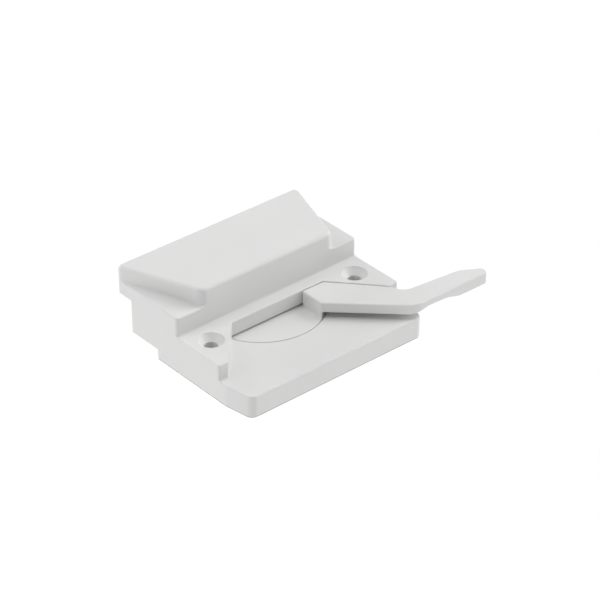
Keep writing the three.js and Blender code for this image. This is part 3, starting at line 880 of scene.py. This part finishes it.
def build_plate_screw(x, y):
    neck = HEAD_SINK + SCREW_HEAD - SCREW_RADIUS
    end = HEAD_SINK + SCREW_LENGTH
    screw = turned(
        [
            (0, HEAD_SINK),
            (SCREW_HEAD - SCREW_RIM_WIDTH, HEAD_SINK),
            (SCREW_HEAD, HEAD_SINK + SCREW_RIM),
            (SCREW_RADIUS, neck + SCREW_RIM),
            (SCREW_RADIUS, end - SCREW_RADIUS),
            (0, end),
        ],
        x,
        y,
        SCREW_SIDES,
    )
    depth = HEAD_SINK + CROSS_DEPTH
    cone_end = depth + CROSS_POINT
    wings = []
    for wide, narrow in ((CROSS_LENGTH, CROSS_WIDTH), (CROSS_WIDTH, CROSS_LENGTH)):
        corners = [
            (x - wide, y - narrow, CROSS_CORNER),
            (x + wide, y - narrow, CROSS_CORNER),
            (x + wide, y + narrow, CROSS_CORNER),
            (x - wide, y + narrow, CROSS_CORNER),
        ]
        wings.append(stacked(corners, [(0, -CROSS_FLARE), (depth, CROSS_DRAFT)]))
    wide, narrow = CROSS_CONE
    section = [(0, 0), (wide, 0), (narrow, cone_end), (0, cone_end)]
    cone = turned(section, x, y, CROSS_SIDES)
    return cut(screw, *wings, cone)


def build_cam():
    hub = rod(CAM_HUB, CAM_BOTTOM, CAM_TOP, sides=DISC_SIDES // 2)
    cut(
        hub,
        block((-ABOVE, -CAM_FLAT), (-ABOVE, ABOVE), (0, ABOVE)),
        block((-ABOVE, ABOVE), (-ABOVE, -CAM_FLAT), (0, ABOVE)),
    )
    ring = cut(
        rod(CAM_RADIUS, CAM_BOTTOM, CAM_TOP, sides=DISC_SIDES),
        rod(CAM_RADIUS - HOOK_THICKNESS, 0, ABOVE, sides=DISC_SIDES),
    )
    start = math.acos(CAM_ARM[1] / CAM_RADIUS)
    end = math.pi / 2 + HOOK_REACH
    reach = 2 * CAM_RADIUS
    wedge_mesh = bmesh.new()
    points = [(0, 0)] + [
        (reach * math.cos(angle), reach * math.sin(angle))
        for angle in (start, (start + end) / 2, end)
    ]
    rings = [[wedge_mesh.verts.new((x, y, z)) for x, y in points] for z in (0, ABOVE)]
    wedge_mesh.faces.new(rings[0])
    wedge_mesh.faces.new(rings[1])
    for i in range(len(points)):
        wedge_mesh.faces.new((rings[0][i - 1], rings[0][i], rings[1][i], rings[1][i - 1]))
    hook = keep_inside(ring, to_object(wedge_mesh))
    arm = keep_inside(
        block(CAM_ARM, (0, ABOVE), (CAM_BOTTOM, CAM_TOP)),
        rod(CAM_RADIUS, CAM_BOTTOM - GAP, CAM_TOP + GAP, sides=DISC_SIDES),
    )
    join(hub, arm, hook)
    hole = SHANK_HALF + GAP
    return cut(hub, block((-hole, hole), (-hole, hole), (0, ABOVE)))


# ---------------------------------------------------------------- the pieces
finish_piece(build_housing(), "housing_shell", WHITE, "body", ["housing"])
finish_piece(build_lever(), "lever_moulding", WHITE, "rotor", ["lever"])
finish_piece(build_base_plate(), "base_cover", WHITE, "body", ["base_plate"])
finish_piece(build_cam(), "hook_cam", ZINC, "rotor", ["cam"], edge=0.22)
for number, (screw_x, screw_y) in enumerate(PLATE_SCREWS, 1):
    finish_piece(
        build_plate_screw(screw_x, screw_y),
        f"cover_screw_{number}",
        SCREW,
        "body",
        [f"plate_screw_{number}"],
    )

CAD_LOOKS = {
    "spindle": (ZINC, 0.15),
    "lower_bush": (ACETAL, 0.1),
    "upper_bush": (ACETAL, 0.1),
    "wave_washer": (SPRING, 0.04),
    "detent_spring": (SPRING, 0.06),
    "spring_screw_1": (SCREW, 0.05),
    "spring_screw_2": (SCREW, 0.05),
}
for node, (material, edge) in CAD_LOOKS.items():
    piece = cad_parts[node]
    piece.data.materials.clear()
    piece.data.materials.append(material)
    soften(piece, edge)
    shade(piece)


# ---------------------------------------------------------------- studio
def build_floor():
    mesh = bmesh.new()
    bmesh.ops.create_grid(mesh, x_segments=1, y_segments=1, size=8.0)
    floor = to_object(mesh, "floor")
    floor.location.z = -0.02 * MM
    material, tree, shader = new_material("floor_paper", (0.02, 0.02, 0.02), 1.0)
    shader.inputs["Specular IOR Level"].default_value = 0.1
    shader.inputs["Emission Color"].default_value = (1, 1, 1, 1)
    shader.inputs["Emission Strength"].default_value = 1.0
    floor.data.materials.append(material)


def build_hole_shade_sheet():
    """A near-black sheet under the base that paints the shade seen down the fixing holes; only the
    holes show it.
    """
    face = stacked(base_outline(STEP_Y), [(-0.015, 0.15), (-0.01, 0.15)])
    face.data.transform(Matrix.Scale(MM, 4))
    face.name = "hole_shade_sheet"
    # painted shade: this near-black colour stands in for the shade deep in the holes, where the
    # glowing floor would show through
    face.data.materials.append(new_material("painted_hole_shade", (0.03, 0.03, 0.03), 0.8)[0])


def add_light(name, direction, distance, size, power):
    """A square softbox that stands in the direction given and faces the latch."""
    light = bpy.data.lights.new(name, "AREA")
    light.shape = "SQUARE"
    light.size = size
    light.energy = power
    lamp = bpy.data.objects.new(name, light)
    bpy.context.scene.collection.objects.link(lamp)
    towards = Vector(direction).normalized()
    lamp.location = towards * distance
    lamp.rotation_euler = towards.to_track_quat("Z", "Y").to_euler()
    return lamp


def build_camera():
    azimuth = math.radians(40.481)
    elevation = math.radians(33.024)
    sight = Vector((11.81, -7.72, 10.0)) * MM
    distance = 922.8 * MM
    forward = Vector(
        (
            math.sin(azimuth) * math.cos(elevation),
            math.cos(azimuth) * math.cos(elevation),
            -math.sin(elevation),
        )
    )
    data = bpy.data.cameras.new("camera")
    data.sensor_width = 36.0
    data.lens = 152.53
    data.clip_start = 0.01
    data.clip_end = 50.0
    camera = bpy.data.objects.new("camera", data)
    bpy.context.scene.collection.objects.link(camera)
    camera.location = sight - forward * distance
    camera.rotation_euler = forward.to_track_quat("-Z", "Y").to_euler()
    bpy.context.scene.camera = camera


def build_world():
    world = bpy.data.worlds.new("studio")
    world.use_nodes = True
    background = world.node_tree.nodes["Background"]
    background.inputs["Color"].default_value = (1, 1, 1, 1)
    background.inputs["Strength"].default_value = 0.22
    bpy.context.scene.world = world


build_floor()
# painted shade: a near-black sheet under the base darkens what is seen down the holes
build_hole_shade_sheet()
build_camera()
build_world()
add_light("overhead", (0.0, 0.0, 1.0), 2.0, 1.6, 12.2)
add_light("left", (-0.94, 0.05, 0.34), 1.6, 0.7, 2.3)
add_light("rear_left", (-0.24, 0.91, 0.34), 1.6, 0.7, 7.4)
add_light("rear_left_high", (-0.6, 0.35, 0.72), 1.6, 0.7, 3.5)
add_light("right_front", (0.88, -0.32, 0.34), 1.6, 0.7, 6.2)
add_light("right_front_high", (0.66, -0.24, 0.71), 1.6, 0.7, 7.6)
bpy.context.scene.view_settings.view_transform = "Standard"
